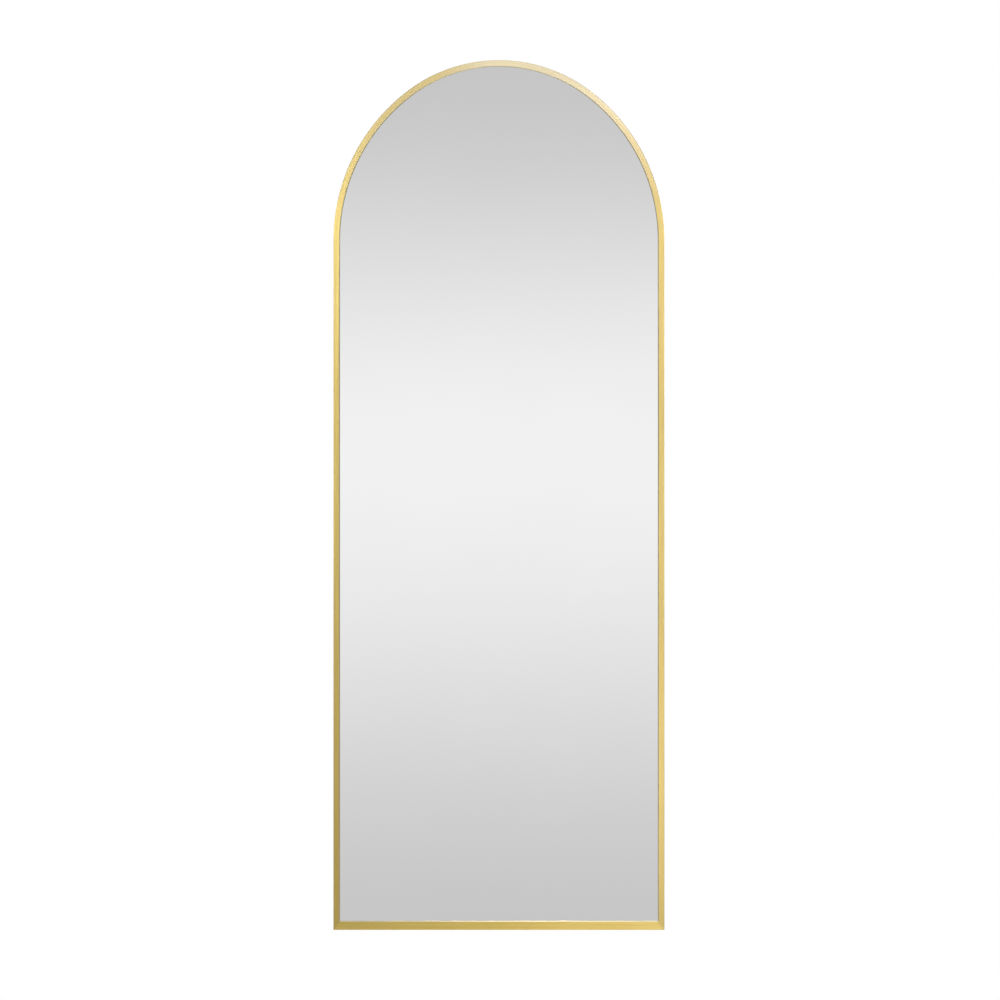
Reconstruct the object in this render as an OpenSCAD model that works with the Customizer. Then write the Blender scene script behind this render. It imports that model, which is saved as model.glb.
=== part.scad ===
// Arched over-the-door mirror in a slim aluminium frame, sizes in millimetres.
// +X is the viewer's right, +Y points into the door and +Z is up.
// The sizes below are worked out with the frame's front face at depth 0 and its
// bottom edge at height 0. Each piece is then moved so that the origin is midway
// between the two keyholes, on the back face of the upper cross bar.

/* [Frame outline] */
// Overall width of the frame
frame_w = 406; // [340:1:700]
// Overall height of the frame
frame_h = 1067; // [900:1:1800]
// How much taller the arch is than a half circle
arch_lift = 18; // [4:1:40]

/* [Frame section] */
// Front to back depth of the frame
frame_depth = 25; // [23:0.5:35]
// Face width of the side rails and of the arch
side_face = 8; // [7.5:0.5:14]
// Face width of the bottom rail
bottom_face = 11; // [8:0.5:16]
// Thickness of the outer wall
wall_t = 1.2; // [1:0.1:2]
// Thickness of the front lip
lip_t = 1.4; // [1.2:0.1:2]
// Bevel along the inner edge of the front lip
lip_bevel = 1.0; // [0.4:0.1:1.1]
// Small bevel on the outer corners
edge_break = 0.4; // [0.2:0.1:0.8]
// Thickness of the web behind the glazing channel and of the rear flange
ledge_t = 1.2; // [1:0.1:1.6]
// How far the web and the rear flange reach in from the outside of a side rail
ledge_reach = 7; // [6.6:0.1:7.4]
// Room between the front lip and the web
glazing_depth = 10.6; // [10.4:0.1:12]
// Hairline joint between two rails
joint_gap = 0.1; // [0.05:0.05:0.3]

/* [Glass and back] */
// Thickness of the mirror glass
glass_t = 3; // [2:0.5:3]
// Thickness of the safety film
film_t = 0.2; // [0.1:0.1:0.3]
// Thickness of the foam sheet
foam_t = 2; // [1:0.5:2]
// Thickness of the backing board
board_t = 3; // [2:0.5:3]
// Clearance between the glass and the wall of the side rails and arch
glass_gap = 1.0; // [0.5:0.1:2]
// Clearance under the glass
glass_seat_gap = 0.3; // [0.1:0.1:1]

/* [Frame springs] */
// Length of a frame spring
spring_l = 60; // [40:5:80]
// Width of a frame spring
spring_w = 5; // [3:0.5:5.2]
// Thickness of a frame spring
spring_t = 0.5; // [0.3:0.1:0.8]
// Clearance left when a spring is pressed in
spring_gap = 0.1; // [0.05:0.05:0.2]
// Distance from the spring line down to the highest side springs
spring_drop = 106; // [60:1:150]
// Distance between the side springs
spring_pitch = 200; // [120:10:300]
// Distance of the bottom springs from the middle
spring_bottom_x = 95; // [50:5:110]

/* [Corner keys and arch joiners] */
// Length of each leg of a corner key, from the outside of the corner
key_leg = 45; // [40:1:60]
// Length of each leg of an arch joiner
joiner_leg = 40; // [36:1:60]
// Clearance of the keys in the rear channel
key_gap = 0.3; // [0.1:0.1:0.5]
// Distance of the first screw from the corner or from the spring line
key_screw_first = 16; // [14:1:18]
// Distance between the two screws in a leg
key_screw_pitch = 16; // [10:1:18]

/* [Frame screws] */
// Radius of the screw thread
screw_r = 1.5; // [1.2:0.1:1.7]
// Radius of the pan head
screw_head_r = 2.7; // [2.4:0.1:2.8]
// Height of the pan head
screw_head_h = 1.8; // [1.2:0.1:2.2]
// Length of the key screws under the head
key_screw_l = 8; // [5:0.5:9]
// Length of the cross bar screws under the head
bar_screw_l = 5; // [4:0.5:8]
// Clearance round a thread in its hole
thread_gap = 0.05; // [0.02:0.01:0.1]

/* [Cross bars] */
// Height of a cross bar
bar_h = 30; // [26:1:40]
// Front to back depth of a cross bar
bar_d = 8; // [6:0.5:9]
// Sheet thickness of a cross bar
bar_t = 1.5; // [1.2:0.1:2]
// Outer bend radius of a cross bar
bar_bend_r = 2.5; // [2.1:0.1:3]
// Clearance at each end of a cross bar
bar_end_gap = 1.0; // [0.5:0.1:1.5]
// Distance from the spring line down to the upper cross bar
upper_bar_drop = 86; // [75:1:120]
// Distance between the two screws at each end of a cross bar
bar_screw_pitch = 16; // [10:1:18]

/* [Keyholes] */
// Distance of each keyhole from the middle
keyhole_x = 150; // [125:1:155]
// Radius of the round entry of a keyhole
keyhole_r = 4.2; // [3.5:0.1:4.5]
// Half the width of the slot above the entry
keyhole_slot_r = 2.2; // [1.5:0.1:2.3]
// Distance from the entry up to the end of the slot
keyhole_rise = 9; // [7:0.5:10]

/* [Door hooks] */
// Distance of each hook from the middle
hook_x = 90; // [60:1:100]
// Width of the hook strap
strap_w = 25; // [20:1:30]
// Thickness of the hook strap
strap_t = 1.5; // [1.2:0.1:2]
// Thickest door that the hooks fit
door_t = 45; // [35:1:50]
// Clearance behind the thickest door
door_gap = 0.5; // [0.2:0.1:2]
// Length of the lip that hangs behind the door
lip_l = 40; // [34:1:50]
// How far the hooks slide up
hook_travel = 165; // [100:5:200]
// Width of the slot in the strap
slot_w = 5; // [4.6:0.2:6]
// Length of strap below the slot
strap_tail = 50; // [40:1:70]
// How far the hooks stay below the edge of the arch when they are down
hook_hide = 16; // [10:1:30]
// Radius of the corners at the ends of the strap
strap_corner_r = 4; // [2:0.5:8]

/* [Hook guides] */
// Sheet thickness of a hook guide
guide_t = 1.2; // [1:0.1:1.5]
// Width of each lip that holds the strap in its guide
guide_lip = 5.2; // [3.2:0.1:5.4]
// Clearance in front of the strap and behind it
strap_gap = 0.3; // [0.2:0.05:0.5]
// Clearance beside the strap
strap_side_gap = 0.4; // [0.2:0.1:0.8]
// Length of a guide above the thumbscrew
guide_above = 40; // [22:1:42]
// Length of a guide below the strap when the hook is down
guide_below = 5; // [2:1:10]
// Height of the lower cross bar above the lower end of the guides
lower_bar_rise = 30; // [20:1:60]
// Distance of each rivet from the middle of a guide
rivet_x = 9; // [8:0.5:10]
// Radius of a rivet
rivet_r = 2; // [1.5:0.1:2.5]
// Radius of the closed head of a rivet
rivet_head_r = 3; // [2.6:0.1:3.4]
// Height of the closed head of a rivet
rivet_head_h = 1.0; // [0.6:0.1:2]

/* [Thumbscrews] */
// Radius of the thumbscrew thread
thumb_r = 2; // [1.5:0.1:2]
// Radius of the knurled head
thumb_head_r = 7; // [5.5:0.1:7.1]
// Height of the knurled head
thumb_head_h = 3.2; // [2:0.1:3.2]
// Number of grooves round the head
thumb_grooves = 30; // [16:1:36]
// Radius of a groove
thumb_groove_r = 0.5; // [0.3:0.05:0.6]
// Width of the screwdriver slot in the head
thumb_slot_w = 1.4; // [1:0.1:2]
// How far the screw reaches in front of the cross bar
thumb_reach = 7; // [5:0.5:10]
// Radius of the washer
washer_r = 6.5; // [5:0.1:7]
// Thickness of the washer
washer_t = 0.8; // [0.5:0.1:0.8]
// Radius of the body of a clinch nut
nut_r = 3.8; // [3.2:0.1:4]
// Length of a clinch nut in front of the cross bar
nut_l = 5; // [3:0.5:6]
// Radius of the flange of a clinch nut
nut_flange_r = 5; // [4.4:0.1:5.4]
// Thickness of the flange of a clinch nut
nut_flange_t = 1.0; // [0.5:0.1:1.5]
// Radius of the spigot of a clinch nut
nut_spigot_r = 2.9; // [2.7:0.1:3.1]

/* [Pads and bumpers] */
// Thickness of the rubber bumpers, which keeps the frame off the door
bumper_t = 6.5; // [6.5:0.1:9]
// Length of a bumper
bumper_l = 40; // [30:1:60]
// Width of a bumper
bumper_w = 6; // [5:0.5:6.5]
// Height of the middle of the lower bumpers
bumper_low_z = 110; // [90:5:130]
// Distance from the spring line down to the middle of the upper bumpers
bumper_high_drop = 150; // [135:1:170]
// Thickness of the felt pad on the hook's lip
lip_pad_t = 1.5; // [1:0.1:3]
// Width of the hook pads
pad_w = 20; // [14:1:20]
// Height of the hook pads
pad_h = 28; // [20:1:28]
// Radius of the corners of the pads and bumpers
pad_corner_r = 2.5; // [1:0.1:2.5]
// How far the front pad stays inside the door's face
pad_relief = 0.2; // [0.1:0.1:0.5]

/* [Hidden] */
$fn = 96;
past = 1;

// Outline: a crown arc between two haunch arcs that rise from the spring line.
// The centres of a haunch and of the crown are the ends of the long side of a
// 3-4-5 triangle, and the two arcs meet where that side's line crosses them.
half_w = frame_w / 2;
arch_rise = half_w + arch_lift;
spring_z = frame_h - arch_rise;
arc_dir = [3 / 5, 4 / 5];
haunch_x = 3 * arch_lift / 2;
haunch_r = half_w + haunch_x;
crown_r = half_w - arch_lift;
crown_z = frame_h - crown_r;

// Depths of the frame section, front to back
web_y = lip_t + glazing_depth;
web_back = web_y + ledge_t;
bar_back = frame_depth - ledge_t;
door_y = frame_depth + bumper_t;
bottom_reach = ledge_reach * bottom_face / side_face;

// Depths of the glass and what lies behind it
film_y = lip_t + glass_t;
foam_y = film_y + film_t;
board_y = foam_y + foam_t;
board_back = board_y + board_t;
glass_inset = wall_t + glass_gap;
glass_foot = wall_t + glass_seat_gap;

// Depths behind the cross bars
guide_floor = bar_back + guide_t;
strap_front = max(guide_floor, frame_depth) + strap_gap;
strap_back = strap_front + strap_t;
guide_lip_y = strap_back + strap_gap;
guide_back = guide_lip_y + guide_t;
guide_w = strap_w + 2 * (strap_side_gap + guide_t);
washer_y = strap_back + strap_gap;
thumb_head_y = washer_y + washer_t;
bar_web_front = bar_back - bar_t;
bend_r = door_y - strap_back;
lip_front = door_y + door_t + door_gap + lip_pad_t;

// Heights of the hanging hardware; a hook's top is rounded down to a millimetre
clamp_z = spring_z - upper_bar_drop;
keyhole_z = clamp_z - keyhole_rise / 2;
strap_bottom = clamp_z - hook_travel - strap_tail;
guide_bottom = strap_bottom - guide_below;
guide_top = clamp_z + guide_above;
lower_bar_z = guide_bottom + lower_bar_rise;
hook_top = floor(outline_z(hook_x + strap_w / 2) - hook_hide);
key_screws = [key_screw_first, key_screw_first + key_screw_pitch];
bar_heights = [clamp_z, lower_bar_z];

gold = "#D9B566";
steel = "#B9BCBE";
dark_steel = "#8D9093";
black = "#2A2A2A";

// Height of the outside of the frame at a distance x from the middle
function outline_z(x) = x < crown_r * arc_dir.x
    ? crown_z + sqrt(pow(crown_r, 2) - pow(x, 2))
    : spring_z + sqrt(pow(haunch_r, 2) - pow(x + haunch_x, 2));

// Middle of the rear channel, measured in from the outside of a rail
function channel_mid(reach) = (wall_t + reach) / 2;

// Section of a rail as points of inward distance and depth
function rail_section(face, reach) = [
    [0, edge_break], [edge_break, 0], [face - lip_bevel, 0], [face, lip_bevel],
    [face, lip_t], [wall_t, lip_t], [wall_t, web_y], [reach, web_y],
    [reach, web_back], [wall_t, web_back], [wall_t, bar_back], [reach, bar_back],
    [reach, frame_depth], [edge_break, frame_depth], [0, frame_depth - edge_break]
];

// Moves a piece from the frame's bottom edge and front face to the origin
module on_origin() {
    translate([0, -bar_back, -keyhole_z]) children();
}

// Turns a piece drawn along Z so that it runs along the depth
module along_depth() {
    rotate([-90, 0, 0]) children();
}

// Extrudes an outline drawn in the plane of the mirror from depth y over thickness t
module sheet(y, t) {
    translate([0, y + t, 0]) rotate([90, 0, 0]) linear_extrude(t) children();
}

// Repeats a piece on the other side
module both_sides() {
    children();
    mirror([1, 0, 0]) children();
}

// Rectangle with round corners, its middle at the origin
module rounded_rect(w, h, r) {
    square([w - 2 * r, h], center = true);
    square([w, h - 2 * r], center = true);
    for (x = [-1, 1], y = [-1, 1])
        translate([x * (w / 2 - r), y * (h / 2 - r)]) circle(r);
}

// Glass outline, set in from the outside and standing on foot
module arch_outline(inset, foot) {
    reach = half_w - inset;
    join_z = (haunch_r - inset) * arc_dir.y;
    translate([-reach, foot]) square([2 * reach, spring_z - foot]);
    intersection() {
        translate([-haunch_x, spring_z]) circle(haunch_r - inset);
        translate([haunch_x, spring_z]) circle(haunch_r - inset);
        translate([-reach, spring_z]) square([2 * reach, join_z]);
    }
    intersection() {
        translate([0, crown_z]) circle(crown_r - inset);
        translate([-reach, spring_z + join_z]) square([2 * reach, arch_rise]);
    }
}

// Pan head screw that points forward, its head resting at depth 0
module pan_screw(length) {
    recess = screw_head_h * 0.6;
    along_depth() difference() {
        union() {
            translate([0, 0, -length]) cylinder(h = length + recess / 2, r = screw_r);
            cylinder(h = screw_head_h / 2, r = screw_head_r);
            translate([0, 0, screw_head_h / 2])
                cylinder(h = screw_head_h / 2, r1 = screw_head_r, r2 = screw_head_r * 0.7);
        }
        for (turn = [0, 90])
            rotate([0, 0, turn])
                translate([-screw_r, -0.3, screw_head_h - recess])
                    cube([2 * screw_r, 0.6, recess + past]);
    }
}

// Bore for a screw thread through depth y0 to y1
module thread_bore(y0, y1) {
    translate([0, y0 - past, 0]) along_depth()
        cylinder(h = y1 - y0 + 2 * past, r = screw_r + thread_gap);
}

// Places in the right corner, in the side rail and in the bottom rail
module at_corner_screws() {
    for (d = key_screws) {
        translate([half_w - channel_mid(ledge_reach), 0, d + bottom_face / 2]) children();
        translate([half_w - d - side_face / 2, 0, channel_mid(bottom_reach)]) children();
    }
}

// Places on the right at the spring line, in the side rail and in the arch
module at_joiner_screws() {
    mid_r = haunch_r - channel_mid(ledge_reach);
    for (d = key_screws) {
        angle = d / mid_r * 180 / PI;
        translate([half_w - channel_mid(ledge_reach), 0, spring_z - d]) children();
        translate([mid_r * cos(angle) - haunch_x, 0, spring_z + mid_r * sin(angle)])
            children();
    }
}

// Places at the right ends of the cross bars
module at_bar_screws() {
    for (z = bar_heights, side = [-1, 1])
        translate([half_w - channel_mid(ledge_reach), 0, z + side * bar_screw_pitch / 2])
            children();
}

// Section swept round the depth axis from the right over an angle
module arch_sweep(r, angle, section) {
    rotate([90, 0, 0]) rotate_extrude(angle = angle)
        polygon([for (p = section) [r - p[0], -p[1]]]);
}

// What lies below the line on which the right haunch meets the crown
module below_join() {
    far = 2 * frame_w;
    sheet(-past, frame_depth + 2 * past) polygon([
        [0, 0], far * arc_dir, [far, -far], [0, -far]
    ]);
}

module arch_rail() {
    section = rail_section(side_face, ledge_reach);
    color(gold) on_origin() difference() {
        union() {
            both_sides() translate([-haunch_x, 0, spring_z]) intersection() {
                arch_sweep(haunch_r, 90, section);
                below_join();
            }
            translate([0, 0, crown_z]) difference() {
                arch_sweep(crown_r, 180, section);
                both_sides() below_join();
            }
        }
        both_sides() at_joiner_screws() thread_bore(bar_back, frame_depth);
    }
}

// Wedge that mitres the right end of the side and bottom rails
module mitre_wedge(above) {
    run = 3 * side_face;
    rise = 3 * bottom_face;
    shift = above ? -joint_gap : 0;
    far_z = above ? rise * 2 : -rise;
    sheet(-past, frame_depth + 2 * past) polygon([
        [half_w + run, -rise + shift], [half_w - run, rise + shift],
        [half_w - run, far_z], [half_w + run, far_z]
    ]);
}

module right_rail_solid() {
    difference() {
        linear_extrude(spring_z - joint_gap)
            polygon([
                for (p = rail_section(side_face, ledge_reach)) [half_w - p[0], p[1]]
            ]);
        mitre_wedge(false);
        at_corner_screws() thread_bore(bar_back, frame_depth);
        at_joiner_screws() thread_bore(bar_back, frame_depth);
        at_bar_screws() thread_bore(bar_back, frame_depth);
    }
}

module left_side_rail() {
    color(gold) on_origin() mirror([1, 0, 0]) right_rail_solid();
}

module right_side_rail() {
    color(gold) on_origin() right_rail_solid();
}

module bottom_rail() {
    color(gold) on_origin() difference() {
        translate([-half_w, 0, 0]) rotate([90, 0, 90]) linear_extrude(frame_w)
            polygon([
                for (p = rail_section(bottom_face, bottom_reach)) [p[1], p[0]]
            ]);
        both_sides() mitre_wedge(true);
        both_sides() at_corner_screws() thread_bore(bar_back, frame_depth);
    }
}

// Angle that fills the rear channel round the right corner
module corner_key_solid() {
    inner = wall_t + key_gap;
    thickness = bar_back - web_back - 2 * key_gap;
    difference() {
        sheet(bar_back - thickness, thickness) polygon([
            [half_w - inner, inner], [half_w - key_leg, inner],
            [half_w - key_leg, bottom_reach], [half_w - ledge_reach, bottom_reach],
            [half_w - ledge_reach, key_leg], [half_w - inner, key_leg]
        ]);
        at_corner_screws() thread_bore(web_back, bar_back);
    }
}

module left_corner_key() {
    color(steel) on_origin() mirror([1, 0, 0]) corner_key_solid();
}

module right_corner_key() {
    color(steel) on_origin() corner_key_solid();
}

// Key across the right spring line: a straight leg and one bent to the arch
module arch_joiner_solid() {
    inner = wall_t + key_gap;
    thickness = bar_back - web_back - 2 * key_gap;
    key_section = [
        [inner, bar_back - thickness], [ledge_reach, bar_back - thickness],
        [ledge_reach, bar_back], [inner, bar_back]
    ];
    difference() {
        union() {
            translate([half_w - ledge_reach, bar_back - thickness, spring_z - joiner_leg])
                cube([ledge_reach - inner, thickness, joiner_leg]);
            translate([-haunch_x, 0, spring_z])
                arch_sweep(haunch_r, joiner_leg / haunch_r * 180 / PI, key_section);
        }
        at_joiner_screws() thread_bore(web_back, bar_back);
    }
}

module left_arch_joiner() {
    color(steel) on_origin() mirror([1, 0, 0]) arch_joiner_solid();
}

module right_arch_joiner() {
    color(steel) on_origin() arch_joiner_solid();
}

module corner_key_screws() {
    color(dark_steel) on_origin() both_sides() at_corner_screws()
        translate([0, frame_depth, 0]) pan_screw(key_screw_l);
}

module joiner_screws() {
    color(dark_steel) on_origin() both_sides() at_joiner_screws()
        translate([0, frame_depth, 0]) pan_screw(key_screw_l);
}

module mirror_glass() {
    color("#C9CDD0") on_origin() sheet(lip_t, glass_t)
        arch_outline(glass_inset, glass_foot);
}

module safety_film() {
    color("#E6EAEE") on_origin() sheet(film_y, film_t)
        arch_outline(glass_inset, glass_foot);
}

module foam_sheet() {
    color("#F4F4F0") on_origin() sheet(foam_y, foam_t)
        arch_outline(glass_inset, glass_foot);
}

module backing_board() {
    color("#8A6A48") on_origin() sheet(board_y, board_t)
        arch_outline(glass_inset, glass_foot);
}

// Bowed strip along X, its ends on the board and its middle on the web
module spring_strip() {
    bow = web_y - board_back - spring_gap - spring_t;
    bow_r = (pow(spring_l / 2, 2) + bow * bow) / (2 * bow);
    linear_extrude(spring_w, center = true) intersection() {
        translate([0, bow - bow_r]) difference() {
            circle(bow_r + spring_t);
            circle(bow_r);
        }
        translate([-spring_l / 2, 0]) square([spring_l, bow + spring_t]);
    }
}

module frame_springs() {
    seat_u = wall_t + (ledge_reach - wall_t) / 2;
    color(steel) on_origin() both_sides() {
        for (z = [spring_z - spring_drop : -spring_pitch : spring_l])
            translate([half_w - seat_u, board_back, z]) rotate([0, -90, 0]) spring_strip();
        translate([spring_bottom_x, board_back, seat_u]) spring_strip();
    }
}

// Outline of a sheet folded back at both edges, its back face on the Y axis
module folded_outline(d, h, r) {
    translate([-d, -h / 2]) square([d - r, h]);
    translate([-d, r - h / 2]) square([d, h - 2 * r]);
    for (side = [-1, 1]) translate([-r, side * (h / 2 - r)]) circle(r);
}

// Channel that spans the frame at height z, open to the front
module cross_bar(z) {
    length = frame_w - 2 * (wall_t + bar_end_gap);
    difference() {
        translate([-length / 2, bar_back, z]) rotate([90, 0, 90]) linear_extrude(length)
            difference() {
                folded_outline(bar_d, bar_h, bar_bend_r);
                translate([-bar_t, 0])
                    folded_outline(bar_d, bar_h - 2 * bar_t, bar_bend_r - bar_t);
            }
        both_sides() at_bar_screws() thread_bore(bar_web_front, bar_back);
        both_sides() at_rivets() translate([0, bar_web_front - past, 0]) along_depth()
            cylinder(h = bar_t + 2 * past, r = rivet_r + thread_gap);
    }
}

// Places of the rivets in the right guide
module at_rivets() {
    for (z = bar_heights, side = [-1, 1])
        translate([hook_x + side * rivet_x, 0, z]) children();
}

module keyhole() {
    sheet(bar_web_front - past, bar_t + 2 * past) {
        circle(keyhole_r);
        translate([-keyhole_slot_r, 0]) square([2 * keyhole_slot_r, keyhole_rise]);
        translate([0, keyhole_rise]) circle(keyhole_slot_r);
    }
}

module upper_cross_bar() {
    color(dark_steel) on_origin() difference() {
        cross_bar(clamp_z);
        both_sides() translate([keyhole_x, 0, keyhole_z]) keyhole();
        both_sides() translate([hook_x, bar_web_front - past, clamp_z]) along_depth()
            cylinder(h = bar_t + 2 * past, r = nut_spigot_r + thread_gap);
    }
}

module lower_cross_bar() {
    color(dark_steel) on_origin() cross_bar(lower_bar_z);
}

module cross_bar_screws() {
    color(dark_steel) on_origin() both_sides() at_bar_screws()
        translate([0, frame_depth, 0]) pan_screw(bar_screw_l);
}

// Guide on the right: a folded sheet with two lips that hold the strap
module hook_guide_solid() {
    opening = guide_w - 2 * (guide_t + guide_lip);
    slide_w = guide_w - 2 * guide_t;
    depth = guide_back - bar_back;
    difference() {
        translate([hook_x, bar_back + depth / 2, guide_bottom])
            linear_extrude(guide_top - guide_bottom) difference() {
                rounded_rect(guide_w, depth, guide_t);
                translate([-slide_w / 2, guide_t - depth / 2])
                    square([slide_w, depth - 2 * guide_t]);
                translate([-opening / 2, 0]) square([opening, depth]);
            }
        at_rivets() translate([0, bar_back - past, 0]) along_depth()
            cylinder(h = guide_t + 2 * past, r = rivet_r + thread_gap);
        translate([hook_x, bar_back - past, clamp_z]) along_depth()
            cylinder(h = guide_t + 2 * past, r = slot_w / 2);
    }
}

module left_hook_guide() {
    color(steel) on_origin() mirror([1, 0, 0]) hook_guide_solid();
}

module right_hook_guide() {
    color(steel) on_origin() hook_guide_solid();
}

// Rivets flush with the floor of the guides, their heads in front of the bars
module guide_rivets() {
    color(steel) on_origin() both_sides() at_rivets() {
        translate([0, bar_web_front, 0]) along_depth()
            cylinder(h = guide_floor - bar_web_front, r = rivet_r);
        translate([0, bar_web_front - rivet_head_h, 0]) along_depth()
            cylinder(h = rivet_head_h, r = rivet_head_r);
    }
}

module clamp_nuts() {
    color(steel) on_origin() both_sides() translate([hook_x, 0, clamp_z]) difference() {
        union() {
            translate([0, bar_web_front - nut_l, 0]) along_depth()
                cylinder(h = nut_l, r = nut_r);
            translate([0, bar_web_front - nut_flange_t, 0]) along_depth()
                cylinder(h = nut_flange_t, r = nut_flange_r);
            translate([0, bar_web_front - nut_flange_t, 0]) along_depth()
                cylinder(h = bar_t + nut_flange_t, r = nut_spigot_r);
        }
        translate([0, bar_web_front - nut_l - past, 0]) along_depth()
            cylinder(h = nut_l + bar_t + 2 * past, r = thumb_r + thread_gap);
    }
}

// Flat end of the strap: its lower corners round, standing on the X axis
module strap_end(length) {
    r = strap_corner_r;
    translate([-strap_w / 2, r]) square([strap_w, length - r]);
    translate([r - strap_w / 2, 0]) square([strap_w - 2 * r, length]);
    for (side = [-1, 1]) translate([side * (strap_w / 2 - r), r]) circle(r);
}

// Right hook: a slotted strap, a bridge over the door and a lip behind it
module door_hook_solid() {
    outer_r = bend_r + strap_t;
    bend_z = hook_top - outer_r;
    lip_back = lip_front + strap_t;
    slot_r = slot_w / 2;
    translate([hook_x, 0, 0]) {
        sheet(strap_front, strap_t) difference() {
            translate([0, strap_bottom]) strap_end(bend_z - strap_bottom);
            translate([-slot_r, clamp_z - hook_travel]) square([slot_w, hook_travel]);
            for (z = [clamp_z - hook_travel, clamp_z]) translate([0, z]) circle(slot_r);
        }
        translate([-strap_w / 2, 0, 0]) rotate([90, 0, 90]) linear_extrude(strap_w) {
            intersection() {
                translate([strap_back + bend_r, bend_z]) difference() {
                    circle(outer_r);
                    circle(bend_r);
                }
                translate([strap_front, bend_z]) square(outer_r);
            }
            translate([strap_back + bend_r, hook_top - strap_t])
                square([lip_front - strap_back - 2 * bend_r, strap_t]);
            intersection() {
                translate([lip_front - bend_r, bend_z]) difference() {
                    circle(outer_r);
                    circle(bend_r);
                }
                translate([lip_back - outer_r, bend_z]) square(outer_r);
            }
        }
        sheet(lip_front, strap_t)
            translate([0, hook_top - lip_l]) strap_end(bend_z - hook_top + lip_l);
    }
}

module left_door_hook() {
    color(steel) on_origin() mirror([1, 0, 0]) door_hook_solid();
}

module right_door_hook() {
    color(steel) on_origin() door_hook_solid();
}

// Pads of the right hook: one in front of the door and one behind it
module hook_pads_solid() {
    pad_z = hook_top - lip_l + pad_h / 2;
    translate([hook_x, 0, pad_z]) {
        sheet(strap_back, door_y - pad_relief - strap_back)
            rounded_rect(pad_w, pad_h, pad_corner_r);
        sheet(lip_front - lip_pad_t, lip_pad_t) rounded_rect(pad_w, pad_h, pad_corner_r);
    }
}

module left_hook_pads() {
    color(black) on_origin() mirror([1, 0, 0]) hook_pads_solid();
}

module right_hook_pads() {
    color(black) on_origin() hook_pads_solid();
}

// Right thumbscrew: a knurled head behind the strap and a thread through it
module thumbscrew_solid() {
    bevel = 0.5;
    tip = bar_web_front - thumb_reach;
    translate([hook_x, 0, clamp_z]) along_depth() difference() {
        rotate_extrude() polygon([
            [0, tip], [thumb_r - bevel, tip], [thumb_r, tip + bevel],
            [thumb_r, thumb_head_y], [thumb_head_r - bevel, thumb_head_y],
            [thumb_head_r, thumb_head_y + bevel],
            [thumb_head_r, thumb_head_y + thumb_head_h - bevel],
            [thumb_head_r - bevel, thumb_head_y + thumb_head_h],
            [0, thumb_head_y + thumb_head_h]
        ]);
        for (i = [0 : thumb_grooves - 1])
            rotate([0, 0, i * 360 / thumb_grooves])
                translate([thumb_head_r, 0, thumb_head_y - past / 2])
                    cylinder(h = thumb_head_h + past, r = thumb_groove_r);
        translate([-thumb_head_r, -thumb_slot_w / 2, thumb_head_y + thumb_head_h * 0.6])
            cube([2 * thumb_head_r, thumb_slot_w, thumb_head_h]);
    }
}

module left_thumbscrew() {
    color(steel) on_origin() mirror([1, 0, 0]) thumbscrew_solid();
}

module right_thumbscrew() {
    color(steel) on_origin() thumbscrew_solid();
}

module clamp_washer_solid() {
    translate([hook_x, washer_y, clamp_z]) along_depth() difference() {
        cylinder(h = washer_t, r = washer_r);
        translate([0, 0, -past]) cylinder(h = washer_t + 2 * past, r = thumb_r + thread_gap);
    }
}

module left_clamp_washer() {
    color(steel) on_origin() mirror([1, 0, 0]) clamp_washer_solid();
}

module right_clamp_washer() {
    color(steel) on_origin() clamp_washer_solid();
}

module door_bumpers() {
    color(black) on_origin() both_sides()
        for (z = [bumper_low_z, spring_z - bumper_high_drop])
            translate([half_w - ledge_reach / 2, 0, z]) sheet(frame_depth, bumper_t)
                rounded_rect(bumper_w, bumper_l, pad_corner_r);
}

arch_rail();
left_side_rail();
right_side_rail();
bottom_rail();
left_corner_key();
right_corner_key();
left_arch_joiner();
right_arch_joiner();
corner_key_screws();
joiner_screws();
mirror_glass();
safety_film();
foam_sheet();
backing_board();
frame_springs();
upper_cross_bar();
lower_cross_bar();
cross_bar_screws();
left_hook_guide();
right_hook_guide();
guide_rivets();
clamp_nuts();
left_door_hook();
right_door_hook();
left_hook_pads();
right_hook_pads();
left_thumbscrew();
right_thumbscrew();
left_clamp_washer();
right_clamp_washer();
door_bumpers();
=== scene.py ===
"""Looks of an over-the-door mirror with an arched gold frame, built round its CAD model.

Lengths are metres in the shared frame: +Z is up, the glass faces -Y, and the origin lies
midway between the two keyholes. Fields whose names end in _mm are millimetres.
"""

import logging
import math
from collections.abc import Callable, Iterable
from dataclasses import dataclass
from enum import Enum
from functools import cached_property

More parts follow.
